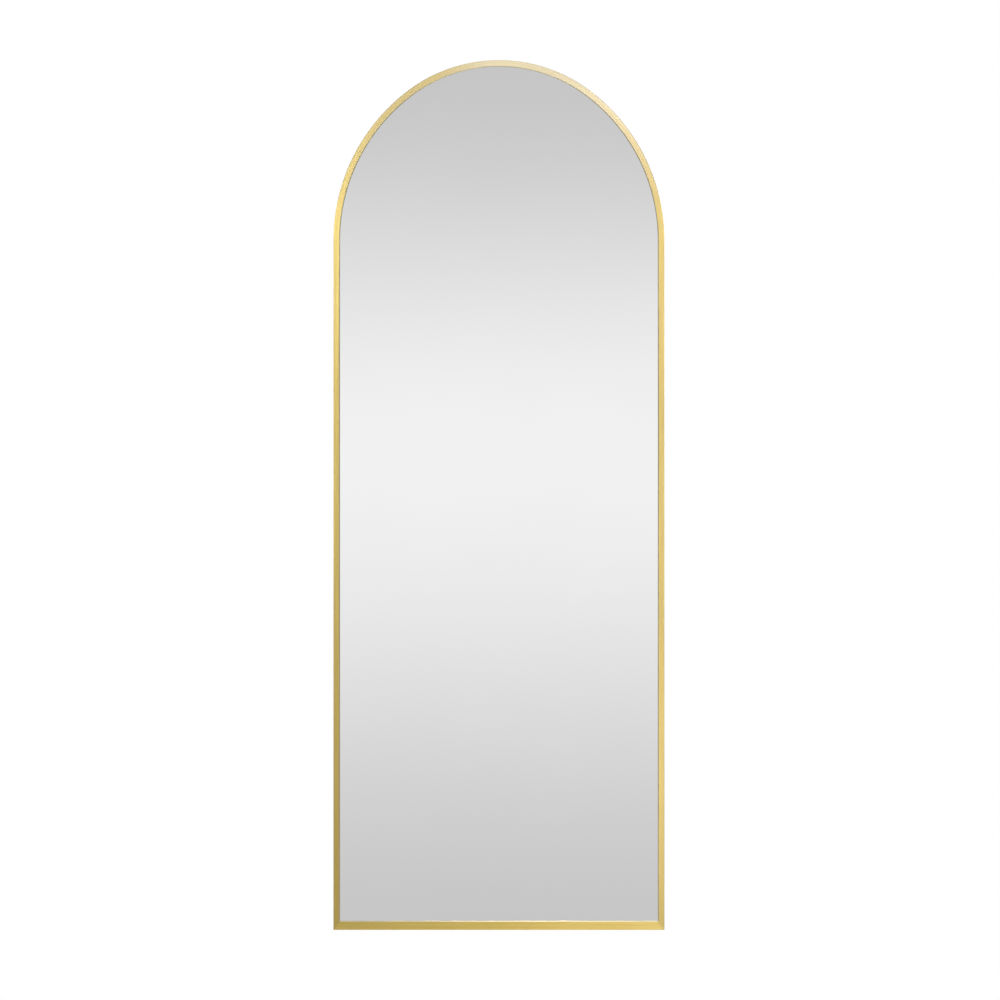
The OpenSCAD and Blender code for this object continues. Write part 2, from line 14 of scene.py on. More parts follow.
import bpy
from bpy.types import Node, NodeSocket, NodeTree, Object
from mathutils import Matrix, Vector


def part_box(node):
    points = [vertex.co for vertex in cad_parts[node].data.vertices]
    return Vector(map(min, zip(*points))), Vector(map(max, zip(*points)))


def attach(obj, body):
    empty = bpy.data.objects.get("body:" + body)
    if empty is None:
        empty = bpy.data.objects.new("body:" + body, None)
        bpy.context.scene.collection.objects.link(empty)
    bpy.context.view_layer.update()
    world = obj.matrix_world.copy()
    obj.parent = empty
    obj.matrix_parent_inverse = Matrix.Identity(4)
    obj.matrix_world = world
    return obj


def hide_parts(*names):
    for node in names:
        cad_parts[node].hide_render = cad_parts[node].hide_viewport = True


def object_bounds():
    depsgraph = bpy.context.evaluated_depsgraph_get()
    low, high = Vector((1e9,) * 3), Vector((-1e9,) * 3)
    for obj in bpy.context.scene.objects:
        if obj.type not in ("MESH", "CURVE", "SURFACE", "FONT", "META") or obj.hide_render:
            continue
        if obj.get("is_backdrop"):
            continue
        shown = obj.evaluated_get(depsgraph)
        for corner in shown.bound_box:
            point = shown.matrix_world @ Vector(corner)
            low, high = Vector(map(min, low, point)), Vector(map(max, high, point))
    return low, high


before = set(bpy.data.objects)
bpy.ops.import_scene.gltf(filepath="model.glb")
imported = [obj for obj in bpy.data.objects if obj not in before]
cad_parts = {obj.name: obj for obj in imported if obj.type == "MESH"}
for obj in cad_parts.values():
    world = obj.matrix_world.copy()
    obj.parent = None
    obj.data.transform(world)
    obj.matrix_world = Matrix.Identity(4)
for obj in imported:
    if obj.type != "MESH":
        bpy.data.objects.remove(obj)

LOG = logging.getLogger("arched_mirror")
MM = 0.001
# Points nearer than this to a plane count as lying in it.
NEAR = 0.05 * MM
Pair = tuple[float, float]
Triple = tuple[float, float, float]


def hex_to_linear(code: str) -> tuple[float, ...]:
    """Turns an sRGB hex colour into the linear colour that shaders take.

    Args:
        code: A colour such as "#E0C070".

    Returns:
        Linear red, green and blue, with an alpha of 1.
    """
    shares = [int(code[i:i + 2], 16) / 255 for i in (1, 3, 5)]
    linear = [s / 12.92 if s <= 0.04045 else ((s + 0.055) / 1.055) ** 2.4 for s in shares]
    return (*linear, 1.0)


@dataclass(frozen=True)
class Nodes:
    """The shader nodes of a material or of the world."""

    tree: NodeTree

    def add(
        self, kind: str, inputs: dict[str, object] | tuple[object, ...] = (), **settings: object
    ) -> Node:
        """Adds a node with its settings and what goes into its sockets.

        Args:
            kind: Blender's name for the kind of node, without the ShaderNode before it.
            inputs: What goes into the sockets, by name or in order: values, hex colours,
                outputs, or nodes, each of which gives its first output in use.
            settings: Values of the node's own properties.

        Returns:
            The new node.
        """
        node = self.tree.nodes.new(f"ShaderNode{kind}")
        for name, value in settings.items():
            setattr(node, name, value)
        named = {socket.name: socket for socket in node.inputs if socket.enabled}
        pairs = inputs.items() if isinstance(inputs, dict) else enumerate(inputs)
        for key, value in pairs:
            socket = named[key] if isinstance(key, str) else node.inputs[key]
            if isinstance(value, Node):
                value = next(output for output in value.outputs if output.enabled)
            if isinstance(value, NodeSocket):
                self.tree.links.new(value, socket)
            else:
                socket.default_value = hex_to_linear(value) if isinstance(value, str) else value
        return node

    @cached_property
    def place(self) -> NodeSocket:
        """The point on the piece, in metres in the shared frame."""
        return self.add("TexCoord").outputs["Object"]


def per_metre(size_mm: float) -> float:
    """Scale that gives a pattern features of about this size in millimetres."""
    return 1 / (size_mm * MM)


def waves(spacing_mm: float) -> float:
    """Scale that gives a wave texture lines this far apart, since it has 20 radians a unit."""
    return math.tau / 20 * per_metre(spacing_mm)


@dataclass(frozen=True)
class Finish:
    """What a surface is made of, and the colour that its pattern varies about."""

    name: str
    colour: str

    def paint(self, nodes: Nodes) -> Node:
        """Adds the finish's nodes.

        Args:
            nodes: The material's nodes.

        Returns:
            The shader.
        """
        raise NotImplementedError

    def material(self) -> bpy.types.Material:
        """Makes the finish's material the first time that it is asked for.

        Returns:
            The material, the same one each time.
        """
        made = bpy.data.materials.get(self.name)
        if made is None:
            made = bpy.data.materials.new(self.name)
            made.use_nodes = True
            made.node_tree.nodes.clear()
            nodes = Nodes(made.node_tree)
            nodes.add("OutputMaterial", {"Surface": self.paint(nodes)})
        return made

    def dress(self, piece: Object) -> None:
        """Gives a piece this finish all over.

        Args:
            piece: The piece, whose slots are all filled.
        """
        if not piece.material_slots:
            piece.data.materials.append(self.material())
        for slot in piece.material_slots:
            slot.material = self.material()


# What a finish's colour and its gloss follow.
Marks = tuple[NodeSocket, NodeSocket]


@dataclass(frozen=True)
class Patterned(Finish):
    """A finish between two colours, clouded unless it has a pattern of its own.

    Its relief follows the pattern too, unless it has a grit.
    """

    second: str
    size_mm: float
    roughness: float
    # How much rougher it is where the pattern is strongest.
    spread: float = 0.0
    # Where in the pattern's range the second colour sets in, and where it is full.
    blend: Pair = (0.0, 1.0)
    detail: float = 2.0
    distortion: float = 0.0
    relief: float = 0.0
    relief_mm: float = 0.0
    grit_mm: float = 0.0
    grit_detail: float = 2.0
    metallic: float = 0.0
    ior: float = 1.5
    sheen: float = 0.0

    def pattern(self, nodes: Nodes) -> Marks:
        """Adds clouds of the pattern's size.

        Args:
            nodes: The material's nodes.

        Returns:
            The clouds, for both.
        """
        clouds = nodes.add("TexNoise", {
            "Vector": nodes.place, "Scale": per_metre(self.size_mm), "Detail": self.detail,
            "Distortion": self.distortion,
        })
        return (clouds.outputs["Fac"],) * 2

    def paint(self, nodes: Nodes) -> Node:
        """Adds the pattern, and what it does to the colour, the gloss and the relief.

        Args:
            nodes: The material's nodes.

        Returns:
            The shader.
        """
        tint, gloss = self.pattern(nodes)
        share = nodes.add("MapRange", {
            "Value": tint, "From Min": self.blend[0], "From Max": self.blend[1],
        })
        colour = nodes.add("Mix", {
            "Factor": share, "A": self.colour, "B": self.second,
        }, data_type="RGBA")
        inputs: dict[str, object] = {
            "Base Color": colour, "Metallic": self.metallic, "Roughness": self.roughness,
            "IOR": self.ior, "Sheen Weight": self.sheen,
        }
        if self.spread:
            inputs["Roughness"] = nodes.add("MapRange", {
                "Value": gloss, "To Min": self.roughness,
                "To Max": self.roughness + self.spread,
            })
        if self.relief:
            height = tint if not self.grit_mm else nodes.add("TexNoise", {
                "Vector": nodes.place, "Scale": per_metre(self.grit_mm),
                "Detail": self.grit_detail,
            })
            inputs["Normal"] = nodes.add("Bump", {
                "Strength": self.relief, "Distance": self.relief_mm * MM, "Height": height,
            })
        return nodes.add("BsdfPrincipled", inputs)


class Grain(Enum):
    """The way a rail was brushed, which is always along its own length."""

    UPRIGHT = "upright"
    LEVEL = "level"
    ARCHED = "arched"


@dataclass(frozen=True)
class ArchCurve:
    """The outline of the arch: a crown arc between two wider haunch arcs."""

    half_width: float
    spring_z: float
    top_z: float

    @property
    def lift(self) -> float:
        """How much taller the arch is than a half circle."""
        return self.top_z - self.spring_z - self.half_width

    @property
    def haunch_x(self) -> float:
        """How far past the middle each haunch has its centre."""
        return 1.5 * self.lift

    @property
    def crown_rise(self) -> float:
        """How far over the spring line the crown has its centre."""
        return 2 * self.lift


@dataclass(frozen=True)
class GoldAnodised(Finish):
    """Extruded aluminium, satin brushed and anodised pale gold.

    The dye lies in a clear oxide, so the eye gets a warm metal sheen below a thin neutral
    gloss, and the brushing draws each highlight out across the rail. The bevel beside the
    glass is cut last, with a diamond, so it is paler and takes sharper highlights.
    """

    grain: Grain
    arch: ArchCurve
    pale: str = "#F3D77A"
    # Painted highlight: the arch pales towards its crown, and more so on its right.
    painted_highlight_tone: str = "#F0E0B4"
    # How strong the painted highlight is on the crown's left and on its right, and where that
    # changes.
    highlight_strengths: Pair = (0.35, 1.0)
    highlight_change_mm: Pair = (-90.0, -10.0)
    bright_cut: str = "#F8EBC6"
    # Real brush lines are 0.1 mm wide. These are as coarse as the picture can show.
    line_mm: float = 1.3
    run_mm: float = 110.0
    patch_mm: float = 70.0

    def polar(self, nodes: Nodes) -> tuple[Node, Node]:
        """Adds the nodes that follow the bent rail.

        Args:
            nodes: The material's nodes.

        Returns:
            The point as (across the rail, depth, along the rail), and the way along it.
        """
        arch = self.arch
        parts = nodes.add("SeparateXYZ", {"Vector": nodes.place}).outputs
        results: dict[object, object] = {"x": parts["X"], "z": parts["Z"]}
        # Each step's result, its operation, and the results or numbers that it takes.
        for name, operation, *taken in (
            ("side", "SIGN", "x"),
            ("aside", "ABSOLUTE", "x"),
            ("out", "ADD", "aside", arch.haunch_x),
            ("rise", "SUBTRACT", "z", arch.spring_z),
            ("joint", "MULTIPLY", "out", arch.crown_rise / arch.haunch_x),
            ("crown", "GREATER_THAN", "rise", "joint"),
            ("inset", "MULTIPLY", "crown", arch.haunch_x),
            ("reach_x", "SUBTRACT", "out", "inset"),
            ("drop", "MULTIPLY", "crown", arch.crown_rise),
            ("reach_z", "SUBTRACT", "rise", "drop"),
            ("square_x", "POWER", "reach_x", 2.0),
            ("square_z", "POWER", "reach_z", 2.0),
            ("square", "ADD", "square_x", "square_z"),
            ("radius", "SQRT", "square"),
            ("tighter", "MULTIPLY", "crown", arch.haunch_x + arch.lift),
            ("across", "ADD", "radius", "tighter"),
            ("turn", "ARCTAN2", "reach_z", "reach_x"),
            ("run", "MULTIPLY", "turn", arch.half_width),
            ("inward", "MULTIPLY", "reach_z", "side"),
            ("way_x", "MULTIPLY", "inward", -1.0),
        ):
            values = tuple(results.get(value, value) for value in taken)
            results[name] = nodes.add("Math", values, operation=operation)
        bent = nodes.add("CombineXYZ", (results["across"], parts["Y"], results["run"]))
        along = nodes.add("CombineXYZ", {"X": results["way_x"], "Z": results["reach_x"]})
        return bent, along

    def bevel(self, nodes: Nodes) -> Node:
        """Adds the nodes that find the bevel beside the glass.

        Args:
            nodes: The material's nodes.

        Returns:
            1 on the bevel, which slants and faces inwards, and 0 elsewhere.
        """
        spot = nodes.add("TexCoord").outputs
        depth = nodes.add("SeparateXYZ", {"Vector": spot["Normal"]}).outputs["Y"]
        bevel_y, tolerance = -math.sqrt(0.5), 0.15
        slant = nodes.add("Math", (depth, bevel_y, tolerance), operation="COMPARE")
        outward = nodes.add("VectorMath", (spot["Normal"], spot["Object"]), operation="DOT_PRODUCT")
        inward = nodes.add("Math", (outward, 0.0), operation="LESS_THAN")
        return nodes.add("Math", (slant, inward), operation="MULTIPLY")

    def dye_with_painted_highlight(self, nodes: Nodes, share: Node) -> Node:
        """Adds the dye, which varies along the brush lines, and a painted highlight that pales it
        towards the crown.

        Args:
            nodes: The material's nodes.
            share: How pale the dye is at each place, from 0 to 1.

        Returns:
            The dye's colour, with the painted highlight on it.
        """
        dye = nodes.add("Mix", {
            "Factor": share, "A": self.colour, "B": self.pale,
        }, data_type="RGBA")
        parts = nodes.add("SeparateXYZ", {"Vector": nodes.place}).outputs
        # Painted highlight: paler from the spring line up to the crown, most on the right.
        highlight_peak = nodes.add("MapRange", {
            "Value": parts["X"], "From Min": self.highlight_change_mm[0] * MM,
            "From Max": self.highlight_change_mm[1] * MM, "To Min": self.highlight_strengths[0],
            "To Max": self.highlight_strengths[1],
        }, interpolation_type="SMOOTHSTEP")
        highlight_mix = nodes.add("MapRange", {
            "Value": parts["Z"], "From Min": self.arch.spring_z, "From Max": self.arch.top_z,
            "To Max": highlight_peak,
        }, interpolation_type="SMOOTHSTEP")
        return nodes.add("Mix", {
            "Factor": highlight_mix, "A": dye, "B": self.painted_highlight_tone,
        }, data_type="RGBA")

    def paint(self, nodes: Nodes) -> Node:
        """Adds brush lines that follow the rail, slow shifts of tone, a painted highlight at the
        crown and the oxide's gloss.

        Args:
            nodes: The material's nodes.

        Returns:
            The shader.
        """
        stretch = (per_metre(self.line_mm), per_metre(self.line_mm), per_metre(self.run_mm))
        way: object = nodes.place
        along: object = (0.0, 0.0, 1.0)
        if self.grain is Grain.LEVEL:
            stretch = stretch[::-1]
            along = (1.0, 0.0, 0.0)
        elif self.grain is Grain.ARCHED:
            way, along = self.polar(nodes)
        lines = nodes.add("Mapping", {"Vector": way, "Scale": stretch})
        brushing = nodes.add("TexNoise", {
            "Vector": lines, "Scale": 1.0, "Detail": 1.0, "Roughness": 0.5,
        })
        patches = nodes.add("TexNoise", {
            "Vector": way, "Scale": per_metre(self.patch_mm), "Detail": 2.0,
        })
        blend = nodes.add("Mix", {"Factor": 0.35, "A": brushing, "B": patches})
        share = nodes.add("MapRange", {"Value": blend, "From Min": 0.3, "From Max": 0.7})
        satin = nodes.add("MapRange", {
            "Value": brushing, "From Min": 0.3, "From Max": 0.7, "To Min": 0.36, "To Max": 0.46,
        })
        cut = self.bevel(nodes)
        colour = nodes.add("Mix", {
            "Factor": cut, "A": self.dye_with_painted_highlight(nodes, share), "B": self.bright_cut,
        }, data_type="RGBA")
        gloss = nodes.add("Mix", {"Factor": cut, "A": satin, "B": 0.35})
        relief = nodes.add("Bump", {"Strength": 0.1, "Distance": 0.03 * MM, "Height": brushing})
        facing = nodes.add("NewGeometry").outputs["Normal"]
        stroke = nodes.add("VectorMath", (facing, along), operation="CROSS_PRODUCT")
        return nodes.add("BsdfPrincipled", {
            "Base Color": colour, "Metallic": 1.0, "Roughness": gloss, "Anisotropic": 0.6,
            "Tangent": stroke, "Normal": relief, "Coat Weight": 0.3, "Coat Roughness": 0.3,
            "Coat IOR": 1.6,
        })


@dataclass(frozen=True)
class SawnAluminium(Patterned):
    """Bare extruded aluminium, sawn to length: grey, with faint saw lines."""

    name: str = "sawn_aluminium"
    colour: str = "#B4B6B8"
    second: str = "#C8CACB"
    size_mm: float = 0.8
    roughness: float = 0.42
    relief: float = 0.3
    relief_mm: float = 0.03
    metallic: float = 1.0

    def pattern(self, nodes: Nodes) -> Marks:
        """Adds saw lines.

        Args:
            nodes: The material's nodes.

        Returns:
            The lines, for both.
        """
        lines = nodes.add("TexWave", {
            "Vector": nodes.place, "Scale": waves(self.size_mm), "Distortion": 3.0, "Detail": 2.0,
        }, bands_direction="DIAGONAL")
        return (lines.outputs["Fac"],) * 2


@dataclass(frozen=True)
class BrightZinc(Patterned):
    """Zinc plating with a clear passivation: a cool bright metal with straw-coloured clouds."""

    name: str = "bright_zinc"
    colour: str = "#C3C9CE"
    second: str = "#CFC9B4"
    size_mm: float = 2.2
    roughness: float = 0.22
    spread: float = 0.2
    blend: Pair = (0.4, 0.65)
    detail: float = 4.0
    metallic: float = 1.0


@dataclass(frozen=True)
class Galvanised(Patterned):
    """Hot-dip galvanised sheet: matt grey zinc crystals that each catch the light apart."""

    name: str = "galvanised_sheet"
    colour: str = "#9AA0A3"
    second: str = "#C6CACC"
    size_mm: float = 9.0
    roughness: float = 0.34
    spread: float = 0.18
    relief: float = 0.25
    relief_mm: float = 0.03
    metallic: float = 1.0
    grit_mm: float = 0.7
    grit_detail: float = 3.0
    # The crystals' outlines wander this far, over about this length.
    wander_mm: float = 3.0
    wander_run_mm: float = 5.0

    def pattern(self, nodes: Nodes) -> Marks:
        """Adds crystals, each with a tone and a gloss of its own.

        Args:
            nodes: The material's nodes.

        Returns:
            The crystals' tone and their gloss.
        """
        wander = nodes.add("TexNoise", {
            "Vector": nodes.place, "Scale": per_metre(self.wander_run_mm), "Detail": 3.0,
        })
        reach = (self.wander_mm * MM,) * 3
        marks = (wander.outputs["Color"], reach, nodes.place)
        bent = nodes.add("VectorMath", marks, operation="MULTIPLY_ADD")
        crystals = nodes.add("TexVoronoi", {"Vector": bent, "Scale": per_metre(self.size_mm)})
        greys = nodes.add("SeparateColor", {"Color": crystals.outputs["Color"]}).outputs
        return greys[0], greys[1]


@dataclass(frozen=True)
class SilveredGlass(Finish):
    """Float glass silvered behind: neutral and sharp in front, sea green at its ground rim.

    The back carries the matt grey paint that keeps the silver from tarnishing.
    """

    name: str = "silvered_float_glass"
    colour: str = "#F1F2F1"
    second: str = "#F4F5F4"
    rim: str = "#5E8A78"
    paint_coat: str = "#6D7174"
    # The slight unevenness of polished float glass, a tenth of what the eye would notice.
    haze_mm: float = 120.0

    def paint(self, nodes: Nodes) -> Node:
        """Adds the silver in front, the paint behind and the ground rim between them.

        Args:
            nodes: The material's nodes.

        Returns:
            The shader.
        """
        facing = nodes.add("TexCoord").outputs["Normal"]
        depth = nodes.add("SeparateXYZ", {"Vector": facing}).outputs["Y"]
        front = nodes.add("Math", (depth, -0.5), operation="LESS_THAN")
        back = nodes.add("Math", (depth, 0.5), operation="GREATER_THAN")
        haze = nodes.add("TexNoise", {
            "Vector": nodes.place, "Scale": per_metre(self.haze_mm), "Detail": 2.0,
        })
        colour: object = self.rim
        silver = nodes.add("Mix", {
            "Factor": haze, "A": self.colour, "B": self.second,
        }, data_type="RGBA")
        for share, coat in ((front, silver), (back, self.paint_coat)):
            colour = nodes.add("Mix", {"Factor": share, "A": colour, "B": coat}, data_type="RGBA")
        gloss = nodes.add("MapRange", {"Value": front, "To Min": 0.45, "To Max": 0.0})
        return nodes.add("BsdfPrincipled", {
            "Base Color": colour, "Metallic": front, "Roughness": gloss,
        })


@dataclass(frozen=True)
class ScrimFilm(Finish):
    """Polyethylene film with a woven scrim: milky, with a fine grid of threads."""

    name: str = "scrim_film"
    colour: str = "#D9E0E5"
    thread_mm: float = 2.5

    def paint(self, nodes: Nodes) -> Node:
        """Adds the scrim's grid as brick joints in a smooth film.

        Args:
            nodes: The material's nodes.

        Returns:
            The shader.
        """
        flat = nodes.add("Mapping", {"Vector": nodes.place, "Rotation": (math.pi / 2, 0.0, 0.0)})
        grid = nodes.add("TexBrick", {
            "Vector": flat, "Scale": per_metre(self.thread_mm), "Color1": self.colour,
            "Color2": "#E4EAEE", "Mortar": "#F6F8F9", "Mortar Size": 0.12, "Brick Width": 1.0,
            "Row Height": 1.0,
        }, offset=0.0)
        relief = nodes.add("Bump", {
            "Strength": 0.4, "Distance": 0.05 * MM, "Height": grid.outputs["Fac"],
        })
        return nodes.add("BsdfPrincipled", {
            "Base Color": grid, "Roughness": 0.3, "IOR": 1.51, "Normal": relief,
        })


@dataclass(frozen=True)
class CellFoam(Patterned):
    """Closed-cell polyethylene foam: soft white, with a skin of small bubbles."""

    name: str = "closed_cell_foam"
    colour: str = "#E9E8E2"
    second: str = "#FAFAF7"
    size_mm: float = 1.1
    roughness: float = 0.85
    relief: float = 0.6
    relief_mm: float = 0.2
    sheen: float = 0.15

    def pattern(self, nodes: Nodes) -> Marks:
        """Adds bubbles that swell the skin.

        Args:
            nodes: The material's nodes.

        Returns:
            The bubbles, for both.
        """
        cells = nodes.add("TexVoronoi", {
            "Vector": nodes.place, "Scale": per_metre(self.size_mm), "Smoothness": 0.4,
        }, feature="SMOOTH_F1")
        swelling = nodes.add("Math", (1.0, cells), operation="SUBTRACT")
        return (swelling.outputs[0],) * 2


@dataclass(frozen=True)
class Hardboard(Finish):
    """Wet-pressed hardboard, rough side out: brown wood fibre with a wire screen's print."""

    name: str = "screen_back_hardboard"
    colour: str = "#7D5B3D"
    pale: str = "#A07C58"
    dark: str = "#5A3F28"
    fibre_mm: float = 1.6
    cloud_mm: float = 38.0
    fleck_mm: float = 7.0
    # How far a fleck reaches, as a share of their spacing.
    fleck_reach: float = 0.09
    # The real screen has a 1.2 mm mesh. It is drawn as coarse as the picture can show.
    screen_mm: float = 4.0

    def paint(self, nodes: Nodes) -> Node:
        """Adds matted fibres, cloudy pressing and the crossed print of the screen.

        Args:
            nodes: The material's nodes.

        Returns:
            The shader.
        """
        fibre = nodes.add("TexNoise", {
            "Vector": nodes.place, "Scale": per_metre(self.fibre_mm), "Detail": 6.0,
            "Roughness": 0.7, "Distortion": 1.5,
        })
        cloud = nodes.add("TexNoise", {
            "Vector": nodes.place, "Scale": per_metre(self.cloud_mm), "Detail": 3.0,
        })
        fleck = nodes.add("TexVoronoi", {"Vector": nodes.place, "Scale": per_metre(self.fleck_mm)})
        warp, weft = (
            nodes.add("TexWave", {
                "Vector": nodes.place, "Scale": waves(self.screen_mm),
            }, bands_direction=direction).outputs["Fac"]
            for direction in "XZ"
        )
        print_mark = nodes.add("Math", (warp, weft), operation="MULTIPLY")
        mottle = nodes.add("Mix", {"Factor": 0.45, "A": fibre, "B": cloud})
        share = nodes.add("MapRange", {"Value": mottle, "From Min": 0.35, "From Max": 0.65})
        brown = nodes.add("Mix", {
            "Factor": share, "A": self.colour, "B": self.pale,
        }, data_type="RGBA")
        speck = nodes.add("Math", (fleck, self.fleck_reach), operation="LESS_THAN")
        flecked = nodes.add("Mix", {"Factor": speck, "A": brown, "B": self.dark}, data_type="RGBA")
        pressed = nodes.add("Mix", {
            "Factor": 0.18, "A": flecked, "B": print_mark,
        }, data_type="RGBA", blend_type="MULTIPLY")
        height = nodes.add("Math", (print_mark, fibre), operation="ADD")
        relief = nodes.add("Bump", {"Strength": 0.5, "Distance": 0.15 * MM, "Height": height})
        return nodes.add("BsdfPrincipled", {
            "Base Color": pressed, "Roughness": 0.78, "IOR": 1.5, "Normal": relief,
        })


@dataclass(frozen=True)
class BluedSpring(Patterned):
    """Hardened strip steel, tempered blue: dark and glossy, going to straw in places."""

    name: str = "blued_spring_steel"
    colour: str = "#39455C"
    second: str = "#6A5A52"
    size_mm: float = 18.0
    roughness: float = 0.25
    spread: float = 0.15
    blend: Pair = (0.35, 0.7)
    metallic: float = 1.0


@dataclass(frozen=True)
class PowderCoat(Patterned):
    """Baked polyester powder on steel: an even skin with the soft pebbling of orange peel."""

    name: str = "white_powder_coat"
    colour: str = "#CDCDC9"
    second: str = "#DADAD6"
    size_mm: float = 1.8
    roughness: float = 0.3
    spread: float = 0.12
    relief: float = 0.35
    relief_mm: float = 0.06


@dataclass(frozen=True)
class TurnedNickel(Patterned):
    """Turned brass, nickel plated: warm, bright, with fine rings left by the lathe."""

    name: str = "turned_nickel"
    colour: str = "#C5BFB2"
    second: str = "#DAD5CA"
    size_mm: float = 0.7
    roughness: float = 0.2
    relief: float = 0.2
    relief_mm: float = 0.02
    metallic: float = 1.0
    centre: Triple = (0.0, 0.0, 0.0)

    def pattern(self, nodes: Nodes) -> Marks:
        """Adds lathe rings round the screw's own axis.

        Args:
            nodes: The material's nodes.

        Returns:
            The rings, for both.
        """
        centred = nodes.add("VectorMath", (nodes.place, self.centre), operation="SUBTRACT")
        rings = nodes.add("TexWave", {
            "Vector": centred, "Scale": waves(self.size_mm), "Distortion": 0.4,
        }, wave_type="RINGS", rings_direction="Y")
        return (rings.outputs["Fac"],) * 2


@dataclass(frozen=True)
class PressedFelt(Patterned):
    """Pressed wool felt, charcoal: matt and mottled, with a soft bloom at grazing angles."""

    name: str = "pressed_felt"
    colour: str = "#2C2C2E"
    second: str = "#56565A"
    size_mm: float = 0.5
    roughness: float = 0.95
    blend: Pair = (0.35, 0.68)
    detail: float = 5.0
    distortion: float = 2.0
    relief: float = 0.8
    relief_mm: float = 0.15
    sheen: float = 0.35


@dataclass(frozen=True)
class MouldedRubber(Patterned):
    """Black rubber from a spark-eroded mould: a fine even grit with a faint grey bloom."""

    name: str = "moulded_rubber"
    colour: str = "#1A1A1B"
    second: str = "#343536"
    size_mm: float = 9.0
    roughness: float = 0.62
    blend: Pair = (0.4, 0.75)
    detail: float = 3.0
    relief: float = 0.5
    relief_mm: float = 0.05
    ior: float = 1.52
    grit_mm: float = 0.6


@dataclass(frozen=True)
class StudioPaper(Patterned):
    """White background paper that fades into the white round it."""

    name: str = "background_paper"
    colour: str = "#F6F6F5"
    second: str = "#FFFFFF"
    size_mm: float = 4.0
    roughness: float = 0.9
    radius: float = 1.3
    # The share of the radius at which the fade starts.
    fade_start: float = 0.45

    def paint(self, nodes: Nodes) -> Node:
        """Adds a faint tooth to matt paper, and the fade towards its rim.

        Args:
            nodes: The material's nodes.

        Returns:
            The shader.
        """
        shader = super().paint(nodes)
        level = nodes.add("VectorMath", (nodes.place, (1.0, 1.0, 0.0)), operation="MULTIPLY")
        reach = nodes.add("VectorMath", (level,), operation="LENGTH")
        fade = nodes.add("MapRange", {
            "Value": reach, "From Min": self.fade_start * self.radius,
            "From Max": self.radius, "To Min": 1.0, "To Max": 0.0,
        }, interpolation_type="SMOOTHSTEP")
        nodes.tree.links.new(fade.outputs[0], shader.inputs["Alpha"])
        return shader


def select_only(*pieces: Object) -> None:
    """Selects these pieces and no others, so that the next operator acts on them alone.

    Args:
        pieces: The pieces, in object mode, of which the last becomes the active one.
    """
    bpy.ops.object.select_all(action="DESELECT")
    for piece in pieces:
        piece.select_set(True)
        bpy.context.view_layer.objects.active = piece


def edit(piece: Object) -> None:
    """Makes a piece the only selected one and opens it in edit mode, all deselected.

    Args:
        piece: The piece, in object mode.
    """
    select_only(piece)
    bpy.ops.object.mode_set(mode="EDIT")
    bpy.ops.mesh.select_all(action="DESELECT")


def pick(piece: Object, kind: str, wanted: Callable[[list[Vector]], bool]) -> None:
    """Selects the faces or the edges of a piece whose corners pass a test.

    Args:
        piece: The piece, in edit mode.
        kind: "FACE" or "EDGE".
        wanted: Says whether a face or an edge with these corners is wanted.
    """
    bpy.ops.mesh.select_mode(type=kind)
    bpy.ops.object.mode_set(mode="OBJECT")
    points = [vertex.co for vertex in piece.data.vertices]
    for part in piece.data.polygons if kind == "FACE" else piece.data.edges:
        part.select = wanted([points[index] for index in part.vertices])
    bpy.ops.object.mode_set(mode="EDIT")


def at_depth(depth: float) -> Callable[[list[Vector]], bool]:
    """Makes a test for corners that all lie this far along Y."""
    return lambda corners: all(abs(corner.y - depth) < NEAR for corner in corners)


def crowned_block(
    name: str, low: Vector, high: Vector, way: int, corner: float, rim: float, swell: float,
    steps: tuple[int, int],
) -> Object:
    """Models a block with round corners, as seen from in front, and a crowned face.

    Args:
        name: The piece's name.
        low: Lowest corner of the block without its crown.
        high: Highest corner of that.
        way: -1 for a crown in front, 1 for one behind.
        corner: Radius of the corners.
        rim: How far in from the edge the crown reaches its height.
        swell: How far the crown stands out.
        steps: Facets of a corner, and insets that climb a quarter circle to the crown.

    Returns:
        The block, in object mode, with its place in its mesh.
    """
    select_only()
    bpy.ops.mesh.primitive_cube_add(size=1, location=(low + high) / 2, scale=high - low)
    block = bpy.context.object
    block.name = block.data.name = name
    bpy.ops.object.transform_apply()
    edit(block)
    pick(block, "EDGE", lambda ends: abs(ends[0].y - ends[1].y) > NEAR)
    bpy.ops.mesh.bevel(offset=corner, segments=steps[0], affect="EDGES")
    pick(block, "FACE", at_depth(high.y if way > 0 else low.y))
    for step in range(steps[1]):
        here, there = (math.pi / 2 * i / steps[1] for i in (step, step + 1))
        thickness = rim * (math.cos(here) - math.cos(there))
        depth = swell * (math.sin(there) - math.sin(here))
        bpy.ops.mesh.inset(thickness=thickness, depth=depth, use_boundary=True)
    bpy.ops.object.mode_set(mode="OBJECT")
    return block


def apply_modifier(piece: Object, kind: str, **settings: object) -> None:
    """Adds a modifier to a piece and applies it at once.

    Args:
        piece: The piece, in object mode.
        kind: Blender's name for the kind of modifier.
        settings: Values of the modifier's own properties.
    """
    select_only(piece)
    modifier = piece.modifiers.new(kind.lower(), kind)
    for name, value in settings.items():
        setattr(modifier, name, value)
    bpy.ops.object.modifier_apply(modifier=modifier.name)


def smooth(piece: Object, angle: float) -> None:
    """Shades a piece smooth where its faces meet at a small angle.

    Args:
        piece: The piece, in object mode.
        angle: The widest angle that is smoothed, in degrees.
    """
    select_only(piece)
    bpy.ops.object.shade_smooth_by_angle(angle=math.radians(angle))


